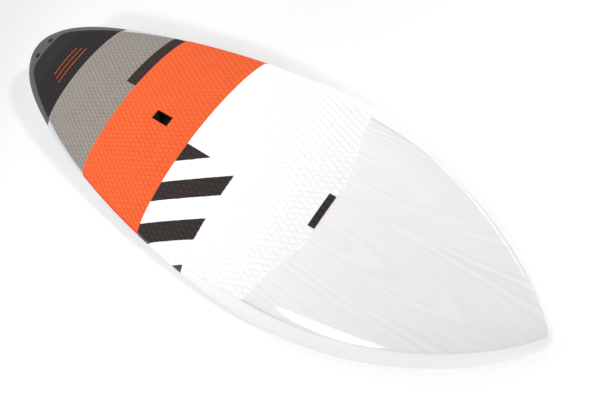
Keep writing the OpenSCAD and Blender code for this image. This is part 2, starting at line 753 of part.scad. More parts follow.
module fin_washer() {
  color("#B9BCC0") on_floor() at_centre_box() translate([screw_x, 0, washer_z]) difference() {
    cylinder(d = tab_w - 2 * washer_gap, h = washer_t);
    translate([0, 0, -past]) cylinder(d = screw_d + 2 * run_gap, h = washer_t + 2 * past);
  }
}
module fin_screw() {
  color("#9FA3A8") on_floor() at_centre_box() translate([screw_x, 0, screw_z]) difference() {
    union() {
      cylinder(d = screw_head, h = screw_head_t);
      cylinder(d = screw_d, h = plate_z + plate_t - screw_z);
    }
    for (turn = [0, 90]) rotate(turn) translate([-cross_l / 2, -cross_w / 2, -past])
      cube([cross_l, cross_w, cross_h + past]);
  }
}

// Side fins: a tab in a plain slot, held by two slanting grub screws
side_tab_l = side_chord - 2 * tab_inset;
side_slot_l = side_tab_l + 2 * tab_gap;
side_slot_w = side_t + 2 * tab_gap;
grub_tilt = 45;
grub_l = 8;
grub_foot = 9;
socket_h = 2.5;
module at_grubs() {
  for (x = [-grub_x, grub_x]) translate([x, side_slot_w / 2, grub_foot])
    rotate([-90 - grub_tilt, 0, 0]) children();
}
module at_outer_side(side) {
  at_side_box(side) mirror([0, side < 0 ? 1 : 0, 0]) children();
}
module side_boxes() {
  color("#EDEDEB") on_floor() for (side = [-1, 1]) at_outer_side(side) difference() {
    translate([-side_box_l / 2, -side_box_w / 2, 0]) cube([side_box_l, side_box_w, side_box_h]);
    translate([-side_slot_l / 2, -side_slot_w / 2, -past])
      cube([side_slot_l, side_slot_w, side_tab_h + tab_gap + past]);
    at_grubs() translate([0, 0, -grub_d]) cylinder(d = grub_d + 2 * run_gap, h = 4 * grub_l);
  }
}
module side_fin(side) {
  color("#2E3033") on_floor() at_side_box(side) union() {
    fin_blade(side_chord, side_depth, side_sweep, side_t);
    fin_tab(side_tab_l, side_t, side_tab_h);
  }
}
module side_fin_port() {
  side_fin(1);
}
module side_fin_starboard() {
  side_fin(-1);
}
module grub_screws() {
  color("#9FA3A8") on_floor() for (side = [-1, 1]) at_outer_side(side) at_grubs()
    translate([0, 0, grub_d / 2 + seat_gap]) difference() {
      cylinder(d = grub_d, h = grub_l);
      translate([0, 0, grub_l - socket_h]) cylinder(d = grub_d / 2, h = socket_h + past, $fn = 6);
    }
}

deck_shell();
bottom_shell();
core_port();
core_starboard();
stringer();
nose_veneer();
tail_pad();
tail_stripes();
rear_pad();
strip_inlay();
middle_pad();
front_pad();
bar_inlays();
tag_inlay();
handle_cup();
vent_body();
vent_ring();
vent_screw();
leash_plugs();
leash_bars();
centre_box();
centre_fin();
cross_pin();
fin_plate();
fin_washer();
fin_screw();
side_boxes();
side_fin_port();
side_fin_starboard();
grub_screws();
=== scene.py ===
import json
import math

import bmesh
import bpy
import numpy as np
from mathutils import Matrix, Quaternion, Vector
from mathutils.geometry import delaunay_2d_cdt


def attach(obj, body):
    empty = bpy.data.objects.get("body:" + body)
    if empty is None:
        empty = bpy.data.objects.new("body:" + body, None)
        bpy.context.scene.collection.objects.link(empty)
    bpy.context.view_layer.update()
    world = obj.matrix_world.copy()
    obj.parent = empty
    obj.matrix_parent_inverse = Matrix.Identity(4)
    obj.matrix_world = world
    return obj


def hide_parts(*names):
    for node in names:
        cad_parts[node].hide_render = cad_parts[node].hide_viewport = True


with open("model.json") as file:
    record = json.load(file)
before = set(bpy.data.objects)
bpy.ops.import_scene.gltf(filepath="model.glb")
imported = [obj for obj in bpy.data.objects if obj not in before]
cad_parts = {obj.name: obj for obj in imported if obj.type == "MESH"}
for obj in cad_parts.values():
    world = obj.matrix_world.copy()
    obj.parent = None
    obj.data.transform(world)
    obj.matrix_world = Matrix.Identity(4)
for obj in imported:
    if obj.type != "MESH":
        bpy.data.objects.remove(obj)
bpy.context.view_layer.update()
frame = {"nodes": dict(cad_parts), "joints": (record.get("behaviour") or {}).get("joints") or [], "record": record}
mm = 0.001
print("frame loaded")

# Board shape in millimetres along the board's own axes: x from the tail, y to port, z up from the belly
board = dict(length=2540, half=395, wide=1410, tailEnd=32, noseEnd=5,
             tailPlan=(1.86, 0.47), nosePlan=(2.75, 0.83),
             thick=122, tailThick=42, noseThick=37, thickAt=1300, tailRocker=108, noseRocker=175, flatAt=1150,
             tailRise=2.4, noseRise=2.7, tailFoil=1.9, noseFoil=1.5, tuck=95, narrowFlat=0.4, mostFlat=0.9,
             apex=0.4, dome=0.7, endRound=20, endLeast=0.22)


def planShare(t, powers):  # one minus t to the first power, all to the second
    return np.maximum(0, 1 - np.clip(t, 0, 1) ** powers[0]) ** powers[1]


def halfWidth(x):  # blunt end plus the plan curve, aft and ahead of the widest station
    half, wide = board["half"], board["wide"]
    aft = board["tailEnd"] + (half - board["tailEnd"]) * planShare((wide - x) / wide, board["tailPlan"])
    fore = board["noseEnd"] + (half - board["noseEnd"]) * planShare(
        (x - wide) / (board["length"] - wide), board["nosePlan"])
    return np.where(x < wide, aft, fore)


def belly(x):  # rocker: a power of the distance from the flattest station, with its own power at each end
    flat = board["flatAt"]
    aft = board["tailRocker"] * (np.clip(flat - x, 0, None) / flat) ** board["tailRise"]
    fore = board["noseRocker"] * (np.clip(x - flat, 0, None) / (board["length"] - flat)) ** board["noseRise"]
    return aft + fore


def thickness(x):  # foil: full thickness less a power of the distance from the thickest station
    full, thickest = board["thick"], board["thickAt"]
    aft = (full - board["tailThick"]) * (np.clip(thickest - x, 0, None) / thickest) ** board["tailFoil"]
    fore = (full - board["noseThick"]) * (
        np.clip(x - thickest, 0, None) / (board["length"] - thickest)) ** board["noseFoil"]
    return full - aft - fore


def apex(x):  # height of the rail's widest line: a share of the thickness above the rocker
    return belly(x) + board["apex"] * thickness(x)


def endShare(x):  # quarter circle over the last millimetres of each end
    c = np.clip(np.minimum(x, board["length"] - x) / board["endRound"], 0, 1)
    return np.maximum(board["endLeast"], np.sqrt(1 - (1 - c) ** 2))


def deck(x, y):  # dome: one minus the width share squared, to the dome power, above the rail
    rise = (1 - board["apex"]) * thickness(x) * endShare(x)
    return apex(x) + rise * np.maximum(0, 1 - (y / halfWidth(x)) ** 2) ** board["dome"]


def flatHalf(x):  # half-width of the flat bottom: the rail less its tuck, between two shares of the width
    w = halfWidth(x)
    return np.minimum(np.maximum(w - board["tuck"], board["narrowFlat"] * w), board["mostFlat"] * w)


def under(x, y):  # bottom: flat in the middle, a quarter ellipse up to the rail
    f = flatHalf(x)
    t = np.clip((np.abs(y) - f) / (halfWidth(x) - f), 0, 1)
    return apex(x) - board["apex"] * thickness(x) * endShare(x) * np.sqrt(1 - t * t)


def slopeOf(height, x, step=4.0):  # angle of the central difference over two steps
    return math.atan(float(height(x + step) - height(x - step)) / (2 * step))


# The board's pitch and place on the floor come from the fin slot's axis and the handle's mount
finBox = dict(x=262, sink=2.4, length=273, width=29, gap=0.6, pocket=36, block=(81, 540), blockEdge=4)
handle = dict(x=1096, length=106, width=40, radius=5, cupLength=114.6, cupWidth=60.6, cupShift=-6,
              pocket=62, block=(1020, 1175), blockColumns=(30, 42))
slideAxis = next(j for j in frame["joints"] if j["name"] == "fin_slide")["axis"]
handleAt = np.array(next(m for m in frame["record"]["mounts"] if m["name"] == "carry_handle")["pos_m"])
pitch = slopeOf(belly, finBox["x"]) - math.atan2(slideAxis[2], slideAxis[0])


def turned(points):  # turn about y by the pitch
    x, y, z = np.moveaxis(np.asarray(points, float), -1, 0)
    c, s = math.cos(pitch), math.sin(pitch)
    return np.stack([x * c + z * s, y, z * c - x * s], -1)


floorShift = handleAt - turned((handle["x"], 0.0, float(deck(handle["x"], 0.0)))) * mm


def toFrame(points):  # board millimetres to the frame's metres: turned, then moved
    return turned(points) * mm + floorShift


# Materials
def colour(hexText):  # sRGB hex to linear, by the standard curve and its straight foot
    v = np.array([int(hexText[k:k + 2], 16) / 255 for k in (1, 3, 5)])
    return (*np.where(v <= 0.04045, v / 12.92, ((v + 0.055) / 1.055) ** 2.4), 1.0)


def addNode(tree, kind, settings, inputs):  # node with its settings, each input a link or a value
    made = tree.nodes.new(kind)
    for name, value in settings.items():
        setattr(made, name, value)
    for name, value in inputs.items():
        if isinstance(value, bpy.types.NodeSocket):
            tree.links.new(value, made.inputs[name])
        else:
            made.inputs[name].default_value = value
    return made


def newMaterial(name, inputs):  # one principled surface with these inputs
    made = bpy.data.materials.new(name)
    made.use_nodes = True
    tree = made.node_tree
    tree.nodes.clear()
    surface = addNode(tree, "ShaderNodeBsdfPrincipled", {}, inputs)
    addNode(tree, "ShaderNodeOutputMaterial", {}, {"Surface": surface.outputs["BSDF"]})
    return made, tree, surface


foamSkin = dict(cell=0.9 * mm, bump=0.3 * mm, patch=60 * mm)  # cells drawn coarser than real ones to show


def foam(name, hexText, uneven=0.06):  # cut closed-cell foam: matt, cells as bumps, a tone uneven in patches
    made, tree, surface = newMaterial(name, {"Roughness": 0.9, "Specular IOR Level": 0.12})
    place = addNode(tree, "ShaderNodeTexCoord", {}, {}).outputs["Object"]
    cells = addNode(tree, "ShaderNodeTexNoise", {}, {
        "Vector": place, "Scale": 1 / foamSkin["cell"], "Detail": 2.0})
    patches = addNode(tree, "ShaderNodeTexNoise", {}, {
        "Vector": place, "Scale": 1 / foamSkin["patch"], "Detail": 3.0})
    base = np.array(colour(hexText))
    dark, light = (*base[:3] * (1 - uneven), 1.0), (*np.minimum(1, base[:3] * (1 + uneven)), 1.0)
    tone = addNode(tree, "ShaderNodeMix", {"data_type": "RGBA"}, {
        0: patches.outputs["Fac"], 6: dark, 7: light})
    bump = addNode(tree, "ShaderNodeBump", {}, {
        "Height": cells.outputs["Fac"], "Strength": 0.25, "Distance": foamSkin["bump"]})
    tree.links.new(tone.outputs[2], surface.inputs["Base Color"])
    tree.links.new(bump.outputs["Normal"], surface.inputs["Normal"])
    return made


def lacquer(name, hexText):  # polished lacquer on laminate: crisp lamps in a clear top coat
    return newMaterial(name, {"Base Color": colour(hexText), "Roughness": 0.16, "Coat Weight": 0.5,
                              "Coat Roughness": 0.03})[0]


def plain(name, hexText, roughness, metallic=0.0, specular=0.4):  # one even tone with its own gloss
    return newMaterial(name, {"Base Color": colour(hexText), "Roughness": roughness, "Metallic": metallic,
                              "Specular IOR Level": specular})[0]


# Veneer figure: hearts as (metres along, metres across, share that lengths count), then sizes along and
# across, stations in metres and tones; the pores are drawn coarser than real ones to show
grain = dict(hearts=((1.9, -0.05, 0.13), (1.9, 0.165, 0.12)), ring=9 * mm, blend=15 * mm, wander=22 * mm,
             bends=(333.3 * mm, 71.43 * mm), pores=(166.7 * mm, 3.333 * mm), patches=(400 * mm, 111.1 * mm),
             border=9 * mm, shade=80 * mm, dimFrom=1.95, dimTo=2.5, brownFrom=1.83, brownTo=2.1,
             dark="#E0DEDF", pale="#EEEDEC", blush="#E8E6E6", brown="#B8A392")


def perMetre(size):  # pattern scale: one over the size along and across
    return 1 / size[0], 1 / size[1], 1.0


# white-washed wood under gloss: uneven rings round two drawn-out ovals, long pores, browner edges; painted shade
# at the sides and nose
def washedVeneer(name):
    made, tree, surface = newMaterial(name, {"Roughness": 0.3, "Coat Weight": 0.8, "Coat Roughness": 0.04})
    place = addNode(tree, "ShaderNodeUVMap", {"uv_map": "plan"}, {}).outputs["UV"]
    ovals = []
    for x, y, squeeze in grain["hearts"]:  # distance from the oval's middle, lengths counted short
        moved = addNode(tree, "ShaderNodeMapping", {}, {
            "Vector": place, "Location": (-x * squeeze, -y, 0), "Scale": (squeeze, 1, 0)})
        far = addNode(tree, "ShaderNodeVectorMath", {"operation": "LENGTH"}, {0: moved.outputs["Vector"]})
        ovals.append(far.outputs["Value"])
    apart = addNode(tree, "ShaderNodeMath", {"operation": "SMOOTH_MIN"}, {
        0: ovals[0], 1: ovals[1], 2: grain["blend"]})
    along = addNode(tree, "ShaderNodeMapping", {}, {"Vector": place, "Scale": perMetre(grain["bends"])})
    wander = addNode(tree, "ShaderNodeTexNoise", {}, {
        "Vector": along.outputs["Vector"], "Scale": 1.0, "Detail": 2.0})
    bent = addNode(tree, "ShaderNodeMath", {"operation": "MULTIPLY_ADD"}, {
        0: wander.outputs["Fac"], 1: grain["wander"], 2: apart.outputs[0]})
    rings = addNode(tree, "ShaderNodeMath", {"operation": "DIVIDE"}, {0: bent.outputs[0], 1: grain["ring"]})
    ring = addNode(tree, "ShaderNodeTexNoise", {"noise_dimensions": "1D"}, {  # rings of uneven width
        "W": rings.outputs[0], "Scale": 1.0, "Detail": 1.0})
    drawn = addNode(tree, "ShaderNodeMapping", {}, {"Vector": place, "Scale": perMetre(grain["pores"])})
    pores = addNode(tree, "ShaderNodeTexNoise", {}, {
        "Vector": drawn.outputs["Vector"], "Scale": 1.0, "Detail": 3.0})
    both = addNode(tree, "ShaderNodeMath", {"operation": "MULTIPLY_ADD"}, {  # twice the rings plus the pores
        0: ring.outputs["Fac"], 1: 2.0, 2: pores.outputs["Fac"]})
    ramp = addNode(tree, "ShaderNodeMapRange", {}, {
        "Value": both.outputs[0], "From Min": 1.15, "From Max": 1.85})
    tone = addNode(tree, "ShaderNodeMix", {"data_type": "RGBA"}, {
        0: ramp.outputs["Result"], 6: colour(grain["dark"]), 7: colour(grain["pale"])})
    spread = addNode(tree, "ShaderNodeMapping", {}, {  # patches where the figure fades, moved off the bends
        "Vector": place, "Scale": perMetre(grain["patches"]), "Location": (3.1, 1.7, 0.0)})
    patches = addNode(tree, "ShaderNodeTexNoise", {}, {
        "Vector": spread.outputs["Vector"], "Scale": 1.0, "Detail": 2.0})
    blush = addNode(tree, "ShaderNodeMix", {"data_type": "RGBA"}, {
        0: patches.outputs["Fac"], 6: tone.outputs[2], 7: colour(grain["blush"])})
    station = addNode(tree, "ShaderNodeSeparateXYZ", {}, {"Vector": place})
    noseShade = addNode(tree, "ShaderNodeMapRange", {}, {  # painted shade: a little darker towards the nose, where less light falls
        "Value": station.outputs["X"], "From Min": grain["dimFrom"], "From Max": grain["dimTo"],
        "To Min": 1.0, "To Max": 0.97})
    edge = addNode(tree, "ShaderNodeAttribute", {"attribute_name": "toEdge"}, {})
    # painted shade: darker near the side edges, where the dome turns away from the light
    edgeShade = addNode(tree, "ShaderNodeMapRange", {}, {
        "Value": edge.outputs["Fac"], "From Max": grain["shade"], "To Min": 0.93, "To Max": 1.0})
    dimmed = addNode(tree, "ShaderNodeMath", {"operation": "MULTIPLY"}, {
        0: noseShade.outputs["Result"], 1: edgeShade.outputs["Result"]})
    shade = addNode(tree, "ShaderNodeVectorMath", {"operation": "SCALE"}, {
        0: blush.outputs[2], "Scale": dimmed.outputs[0]})
    rim = addNode(tree, "ShaderNodeMapRange", {}, {
        "Value": edge.outputs["Fac"], "From Max": grain["border"], "To Min": 0.6, "To Max": 0.0})
    near = addNode(tree, "ShaderNodeMapRange", {}, {  # the border is brownest beside the pad
        "Value": station.outputs["X"], "From Min": grain["brownFrom"], "From Max": grain["brownTo"],
        "To Min": 1.0, "To Max": 0.15})
    browned = addNode(tree, "ShaderNodeMath", {"operation": "MULTIPLY"}, {
        0: rim.outputs["Result"], 1: near.outputs["Result"]})
    final = addNode(tree, "ShaderNodeMix", {"data_type": "RGBA"}, {
        0: browned.outputs[0], 6: shade.outputs["Vector"], 7: colour(grain["brown"])})
    tree.links.new(final.outputs[2], surface.inputs["Base Color"])
    return made


whiteLacquer = lacquer("white lacquer", "#EDEDEE")
materials = dict(
    pad_charcoal=foam("charcoal foam", "#2C2A2B"),
    pad_grey=foam("warm grey foam", "#908983"),
    pad_orange=foam("orange foam", "#E26234"),
    pad_white=foam("white foam", "#EFEFEF", 0.015),
    hull_lacquer=whiteLacquer,
    nose_veneer=washedVeneer("white-washed veneer"),
    moulded_black=plain("moulded black nylon", "#141314", 0.45),  # satin from the mould
    seal_rubber=plain("seal rubber", "#101010", 0.7),  # dull black
    stainless_steel=plain("stainless steel", "#B5B7BA", 0.32, 1.0),  # turned, softly bright
    pin_brass=plain("drawn brass", "#B08D4F", 0.3, 1.0),  # drawn rod, softly bright
    box_white=plain("moulded white plastic", "#E6E6E4", 0.4),  # satin from the mould
    fin_composite=plain("satin fin composite", "#232528", 0.25),  # dark, with a broad sheen
    foam_core=plain("polystyrene foam", "#F4F4F0", 0.9),  # dull white
    stringer_wood=plain("planed wood", "#C9A679", 0.6))  # dull tan
darkInlay = foam("dark inlay foam", "#37302F")
stripeFoam = foam("orange stripe foam", "#C8552E")
plugNylon = plain("moulded dark grey nylon", "#303133", 0.5, specular=0.25)  # duller than the black
print("materials made")


# Meshes
crease = dict(foam=50, trim=40, hull=60)  # degrees past which an edge is sharp
merge = dict(foam=0.005 * mm, hull=0.01 * mm)  # points nearer than this become one


# piece from board points and faces, with its finishes, a map of plan metres, and edges sharp past an angle
def addPiece(name, points, faces, materialList, faceMaterial=None, plan=None, sharp=None):
    mesh = bpy.data.meshes.new(name)
    mesh.from_pydata(toFrame(points).tolist(), [], [list(f) for f in faces])
    for material in materialList:
        mesh.materials.append(material)
    if faceMaterial is not None:
        mesh.polygons.foreach_set("material_index", np.asarray(faceMaterial, np.int32))
    if plan is not None:
        corner = np.zeros(len(mesh.loops), np.int32)
        mesh.loops.foreach_get("vertex_index", corner)
        planMap = (np.asarray(plan)[corner] * mm).astype(np.float32)
        mesh.uv_layers.new(name="plan").data.foreach_set("uv", planMap.ravel())
    mesh.shade_smooth()
    if sharp is not None:
        mesh.set_sharp_from_angle(angle=math.radians(sharp))
    mesh.update()
    made = bpy.data.objects.new(name, mesh)
    bpy.context.scene.collection.objects.link(made)
    return made


def mended(piece, nearest):  # near points merged, unused ones dropped, open rims filled, faces turned outward
    work = bmesh.new()
    work.from_mesh(piece.data)
    bmesh.ops.remove_doubles(work, verts=work.verts, dist=nearest)
    bmesh.ops.delete(work, geom=[v for v in work.verts if not v.link_faces], context="VERTS")
    bmesh.ops.holes_fill(work, edges=[e for e in work.edges if e.is_boundary], sides=0)
    bmesh.ops.recalc_face_normals(work, faces=work.faces)
    work.to_mesh(piece.data)
    work.free()


def gridFaces(rows, columns, closed=False):  # quads of a grid numbered row by row
    j = np.arange(columns if closed else columns - 1)
    a = np.arange(rows - 1)[:, None] * columns + j
    b = np.arange(rows - 1)[:, None] * columns + (j + 1) % columns
    return np.stack([a, b, b + columns, a + columns], -1).reshape(-1, 4)


def within(points, loop, least=1e-12):  # even-odd rule along a ray
    a, b = loop[:, None, :], np.roll(loop, -1, 0)[:, None, :]
    x, y = points[:, 0], points[:, 1]
    run, climb = b[..., 0] - a[..., 0], b[..., 1] - a[..., 1]
    climb = np.where(np.abs(climb) < least, least, climb)
    crossing = ((a[..., 1] > y) != (b[..., 1] > y)) & (x < a[..., 0] + (y - a[..., 1]) * run / climb)
    return crossing.sum(0) % 2 == 1


def inAny(points, loops):  # inside at least one of the loops
    return np.any([within(points, loop) for loop in loops], 0)


# constrained triangles of closed loops and open lines, counter-clockwise, where keep holds at their middle
def triangulate(loops, lines, keep, nearest=1e-4):
    points, edges = [], []
    for line, closed in [(v, True) for v in loops] + [(v, False) for v in lines]:
        first, n = len(points), len(line)
        points += [Vector((float(p[0]), float(p[1]))) for p in line]
        edges += [(first + k, first + (k + 1) % n) for k in range(n if closed else n - 1)]
    plan, _, faces, *_ = delaunay_2d_cdt(points, edges, [], 0, nearest)
    plan, faces = np.array([p[:] for p in plan]), np.array(faces)
    faces = faces[keep(plan[faces].mean(1))]
    used, faces = np.unique(faces, return_inverse=True)
    faces, plan = faces.reshape(-1, 3), plan[used]
    side = plan[faces]
    area = np.cross(side[:, 1] - side[:, 0], side[:, 2] - side[:, 0])
    faces[area < 0] = faces[area < 0][:, ::-1]
    return plan, faces


def rimEdges(faces, count):  # directed edges that belong to one face only
    edges = np.stack([faces, np.roll(faces, -1, 1)], -1).transpose(1, 0, 2).reshape(-1, 2)
    return edges[~np.isin(edges[:, 0] * count + edges[:, 1], edges[:, 1] * count + edges[:, 0])]


def closedSheet(plan, faces, top, base):  # top faces, a wall round their rim, the same faces reversed below
    n = len(plan)
    rim = rimEdges(faces, n)
    points = np.vstack([np.c_[plan, top], np.c_[plan, base]])
    wall = np.stack([rim[:, 0], rim[:, 0] + n, rim[:, 1] + n, rim[:, 1]], -1)
    return points, [*faces.tolist(), *wall.tolist(), *(faces[:, ::-1] + n).tolist()]


def joined(parts):  # several solids in one mesh, each one's point numbers counted on from those before
    points, faces = [], []
    for solid, around in parts:
        first = sum(map(len, points))
        faces += [[v + first for v in face] for face in around]
        points.append(solid)
    return np.vstack(points), faces


# Deck pad
pad = dict(thick=5, glue=0.4, seam=0.6, tail=131, rear=424, middle=830, front=1297, end=1912,
           sweep=86, bend=124, corner=126, closeTo=260, openFrom=270,
           margin=10, draw=62, drawFrom=1000, band=42, noseGap=25,
           kick=15, crest=37, kickLength=82, kickEdge=0.85, kickPower=8,
           kickReach=400.0, kickRows=(4, 14, 25, 35, 37, 39, 48, 59, 70, 80, 82, 84))
groove = dict(along=50, across=19, depth=2.3, half=1.5, hold=2.2, stop=5, start=12, least=0.5)
grooveDensity = math.hypot(1 / groove["along"], 1 / groove["across"])  # lines per millimetre square to them
seams = (pad["rear"], pad["middle"], pad["front"])
halfSeam = pad["seam"] / 2
pastRail = 420.0  # farther out than any rail
veneerEnd = board["length"] - pad["noseGap"]
cornerX = pad["end"] - pad["sweep"]


def smooth(t):  # three t squared less two t cubed
    c = np.clip(t, 0, 1)
    return c * c * (3 - 2 * c)


def veneerWidth(x):  # the nose's plan curve, inside the rail band
    along = (x - board["wide"]) / (veneerEnd - board["wide"])
    return (board["half"] - pad["band"]) * planShare(along, board["nosePlan"])


# half-width of the pad: the rail less a margin that widens aft by a square, blended forward into the veneer's
def coverWidth(x):
    share = smooth((x - pad["front"]) / (cornerX - pad["front"]))
    margin = pad["margin"] + pad["draw"] * np.maximum(0, 1 - x / pad["drawFrom"]) ** 2
    return (halfWidth(x) - margin) * (1 - share) + veneerWidth(x) * share


cornerWidth = float(coverWidth(np.float64(cornerX)))


def sweepAt(t):  # set-back of the front edge: none in the middle, growing to the corners
    return pad["sweep"] * np.maximum(0, np.abs(t) * cornerWidth - pad["bend"]) / (cornerWidth - pad["bend"])


def edgeLoop(xs, width):  # starboard edge forward, port edge back
    return np.vstack([np.c_[xs, -width], np.c_[xs, width][::-1]])


def grooveLines(low, high):  # five lines per groove, both leans of the diamond lattice
    lines = []
    for lean in (1, -1):
        corners = [x / groove["along"] + lean * y / groove["across"]
                   for x in (low[0], high[0]) for y in (low[1], high[1])]
        for n in range(math.floor(min(corners)), math.ceil(max(corners)) + 1):
            for off in (-groove["hold"], -groove["half"], 0, groove["half"], groove["hold"]):
                c = n + off * grooveDensity
                ends = sorted(lean * groove["across"] * (c - x / groove["along"]) for x in (low[0], high[0]))
                y = np.clip(ends, low[1], high[1])
                if y[1] - y[0] > groove["least"]:
                    lines.append(np.c_[groove["along"] * (c - lean * y / groove["across"]), y])
    return lines


def grooveDepth(plan):  # full depth on a groove's middle line, none outside its half-width
    near = np.full(len(plan), np.inf)
    for lean in (1, -1):
        phase = plan[:, 0] / groove["along"] + lean * plan[:, 1] / groove["across"]
        near = np.minimum(near, np.abs(phase - np.round(phase)) / grooveDensity)
    return groove["depth"] * np.clip(1 - near / groove["half"], 0, 1)


def seamShare(x):  # grooves run out over a few millimetres at the seams between blocks
    away = np.min([np.abs(x - seam) for seam in seams], 0)
    return np.clip((away - pad["seam"]) / groove["stop"], 0, 1)


def flush(plan):  # height of the bond line
    return deck(plan[:, 0], plan[:, 1]) + pad["glue"]


def tailWidth(x):  # the pad's width, cut by a slanting corner on each side
    return np.minimum(coverWidth(x), pad["corner"] + x - pad["tail"])


def kickRise(plan):  # rises to its crest, falls evenly to the pad's level, fades to the sides
    x, crestX = plan[:, 0], pad["tail"] + pad["crest"]
    up = pad["kickEdge"] + (1 - pad["kickEdge"]) * (x - pad["tail"]) / pad["crest"]
    down = 1 - np.clip((x - crestX) / (pad["kickLength"] - pad["crest"]), 0, 1)
    outward = np.clip(np.abs(plan[:, 1]) / tailWidth(x), 0, 1)
    return pad["kick"] * np.where(x < crestX, up, down) * (1 - outward ** pad["kickPower"])


def lineAcross(x, reach):  # straight line across, as far to one side as to the other
    return np.array([[x, -reach], [x, reach]])


# block of the pad: triangles between groove lines, the top at the bond line plus the foam less the groove
def padPiece(name, slot, node, loops, keep, lines=(), rise=None, grooveFrom=0.0, look=None):
    corners = np.vstack(loops)
    low, high = corners.min(0), corners.max(0)
    stops = [seam + side * (groove["stop"] + pad["seam"]) for seam in seams for side in (1, -1)]
    across = [lineAcross(x, pastRail) for x in stops if low[0] < x < high[0]]
    plan, faces = triangulate(loops, [*grooveLines(low, high), *lines, *across], keep)
    x, base = plan[:, 0], flush(plan)
    top = base + pad["thick"] - grooveDepth(plan) * smooth((x - grooveFrom) / groove["start"]) * seamShare(x)
    if rise is not None:
        top = top + rise(plan)
    points, solid = closedSheet(plan, faces, top, base)
    made = addPiece(name, points, solid, [look or materials[slot]], sharp=crease["foam"])
    mended(made, merge["foam"])
    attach(made, "board")
    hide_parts(node)
    print(name, len(solid), "faces")


kickLines = [lineAcross(pad["tail"] + row, pad["kickReach"]) for row in pad["kickRows"]]
tailXs = np.concatenate([
    np.linspace(pad["tail"], pad["closeTo"], 30), np.linspace(pad["openFrom"], pad["rear"] - halfSeam, 14)])
tailLoop = edgeLoop(tailXs, tailWidth(tailXs))
padPiece("tailPad", "pad_charcoal", "tail_pad", [tailLoop], lambda p: within(p, tailLoop),
         kickLines, kickRise, pad["tail"] + pad["kickLength"])

strip = dict(width=71, inner=60, past=9)
rearXs = np.linspace(pad["rear"] + halfSeam, pad["middle"] - halfSeam, 30)
rearLoop = edgeLoop(rearXs, coverWidth(rearXs))
stripAft, stripFore = pad["middle"] - strip["width"], pad["middle"] + strip["past"]
stripLoop = np.array([[stripAft, strip["inner"]], [stripFore, strip["inner"]],
                      [stripFore, pastRail], [stripAft, pastRail]])
stripGap = stripLoop + np.array([[-1, -1], [0, -1], [0, 0], [-1, 0]]) * pad["seam"]
padPiece("rearPad", "pad_grey", "rear_pad", [rearLoop, stripGap],
         lambda p: within(p, rearLoop) & ~within(p, stripGap))
padPiece("stripInlay", "pad_charcoal", "strip_inlay", [rearLoop, stripLoop],
         lambda p: within(p, rearLoop) & within(p, stripLoop), look=darkInlay)

turns = np.radians(np.arange(0, 360, 15))
circle = np.c_[np.cos(turns), np.sin(turns)]
nudged = turns + 0.01  # past the axes, so that every point has a corner
cornerSigns = np.c_[np.sign(np.cos(nudged)), np.sign(np.sin(nudged))]
straight = np.array([handle["length"], handle["width"]]) / 2 - handle["radius"]
handleLoop = circle * handle["radius"] + cornerSigns * straight + [handle["x"], 0]
middleXs = np.linspace(pad["middle"] + halfSeam, pad["front"] - halfSeam, 30)
middleLoop = edgeLoop(middleXs, coverWidth(middleXs))
padPiece("middlePad", "pad_orange", "middle_pad", [middleLoop, handleLoop],
         lambda p: within(p, middleLoop) & ~within(p, handleLoop))

bars = dict(count=3, first=33, width=75, pitch=161, reach=260, slope=math.tan(math.radians(30)))
tag = dict(length=23, width=108, past=60)
sideXs = np.linspace(pad["front"] + halfSeam, cornerX, 34)
bendAt = pad["bend"] / cornerWidth
frontShare = np.concatenate([np.linspace(-1, -bendAt, 16), np.linspace(bendAt, 1, 16)])
frontXs = pad["end"] - halfSeam - sweepAt(frontShare)
frontEdge = np.c_[frontXs, frontShare * coverWidth(frontXs)]
frontLoop = np.vstack([np.c_[sideXs, -coverWidth(sideXs)], frontEdge[1:-1],
                       np.c_[sideXs, coverWidth(sideXs)][::-1]])


def barLoop(k, gap):  # slanting bar k, cut off level at the seam, at its reach and at the innermost line
    x0, x1 = pad["front"] - gap, pad["front"] + bars["reach"] + gap
    upper = lambda x: -bars["first"] - k * bars["pitch"] + (x - pad["front"]) * bars["slope"] + gap
    lower = lambda x: upper(x) - bars["width"] - 2 * gap
    limit = -bars["first"] + gap
    if upper(x1) <= limit:
        return np.array([[x0, lower(x0)], [x1, lower(x1)], [x1, upper(x1)], [x0, upper(x0)]])
    stop = x0 + (limit - lower(x0)) / bars["slope"]  # the first bar ends in a point on the innermost line
    return np.array([[x0, lower(x0)], [stop, limit], [x0, min(limit, upper(x0))]])


barLoops = [barLoop(k, 0.0) for k in range(bars["count"])]
barGaps = [barLoop(k, pad["seam"]) for k in range(bars["count"])]
tagAft, tagFore, tagSide = pad["end"] - tag["length"], pad["end"] + tag["past"], tag["width"] / 2
tagLoop = np.array([[tagAft, -tagSide], [tagFore, -tagSide], [tagFore, tagSide], [tagAft, tagSide]])
tagGap = tagLoop + np.array([[-1, -1], [0, -1], [0, 1], [-1, 1]]) * pad["seam"]
padPiece("frontPad", "pad_white", "front_pad", [frontLoop, *barGaps, tagGap],
         lambda p: within(p, frontLoop) & ~inAny(p, [*barGaps, tagGap]))
padPiece("barInlays", "pad_charcoal", "bar_inlays", [frontLoop, *barLoops],
         lambda p: within(p, frontLoop) & inAny(p, barLoops), look=darkInlay)
padPiece("tagInlay", "pad_charcoal", "tag_inlay", [frontLoop, tagLoop],
         lambda p: within(p, frontLoop) & within(p, tagLoop), look=darkInlay)

stripes = dict(count=3, first=74.5, pitch=32, width=3, height=0.8, deep=1.6, half=82, growth=10.25)


def stripe(k):  # ribbon k across the pad at one height above it, longer by the growth than the one behind
    y = np.linspace(-1, 1, 41) * (stripes["half"] + k * stripes["growth"])
    start = pad["tail"] + pad["kickLength"] + stripes["first"] + k * stripes["pitch"]
    x = start + np.linspace(0, stripes["width"], 3)
    plan = np.stack(np.meshgrid(x, y, indexing="ij"), -1).reshape(-1, 2)
    top = flush(plan) + pad["thick"] + stripes["height"]
    return closedSheet(plan, gridFaces(len(x), len(y))[:, ::-1], top, top - stripes["deep"])


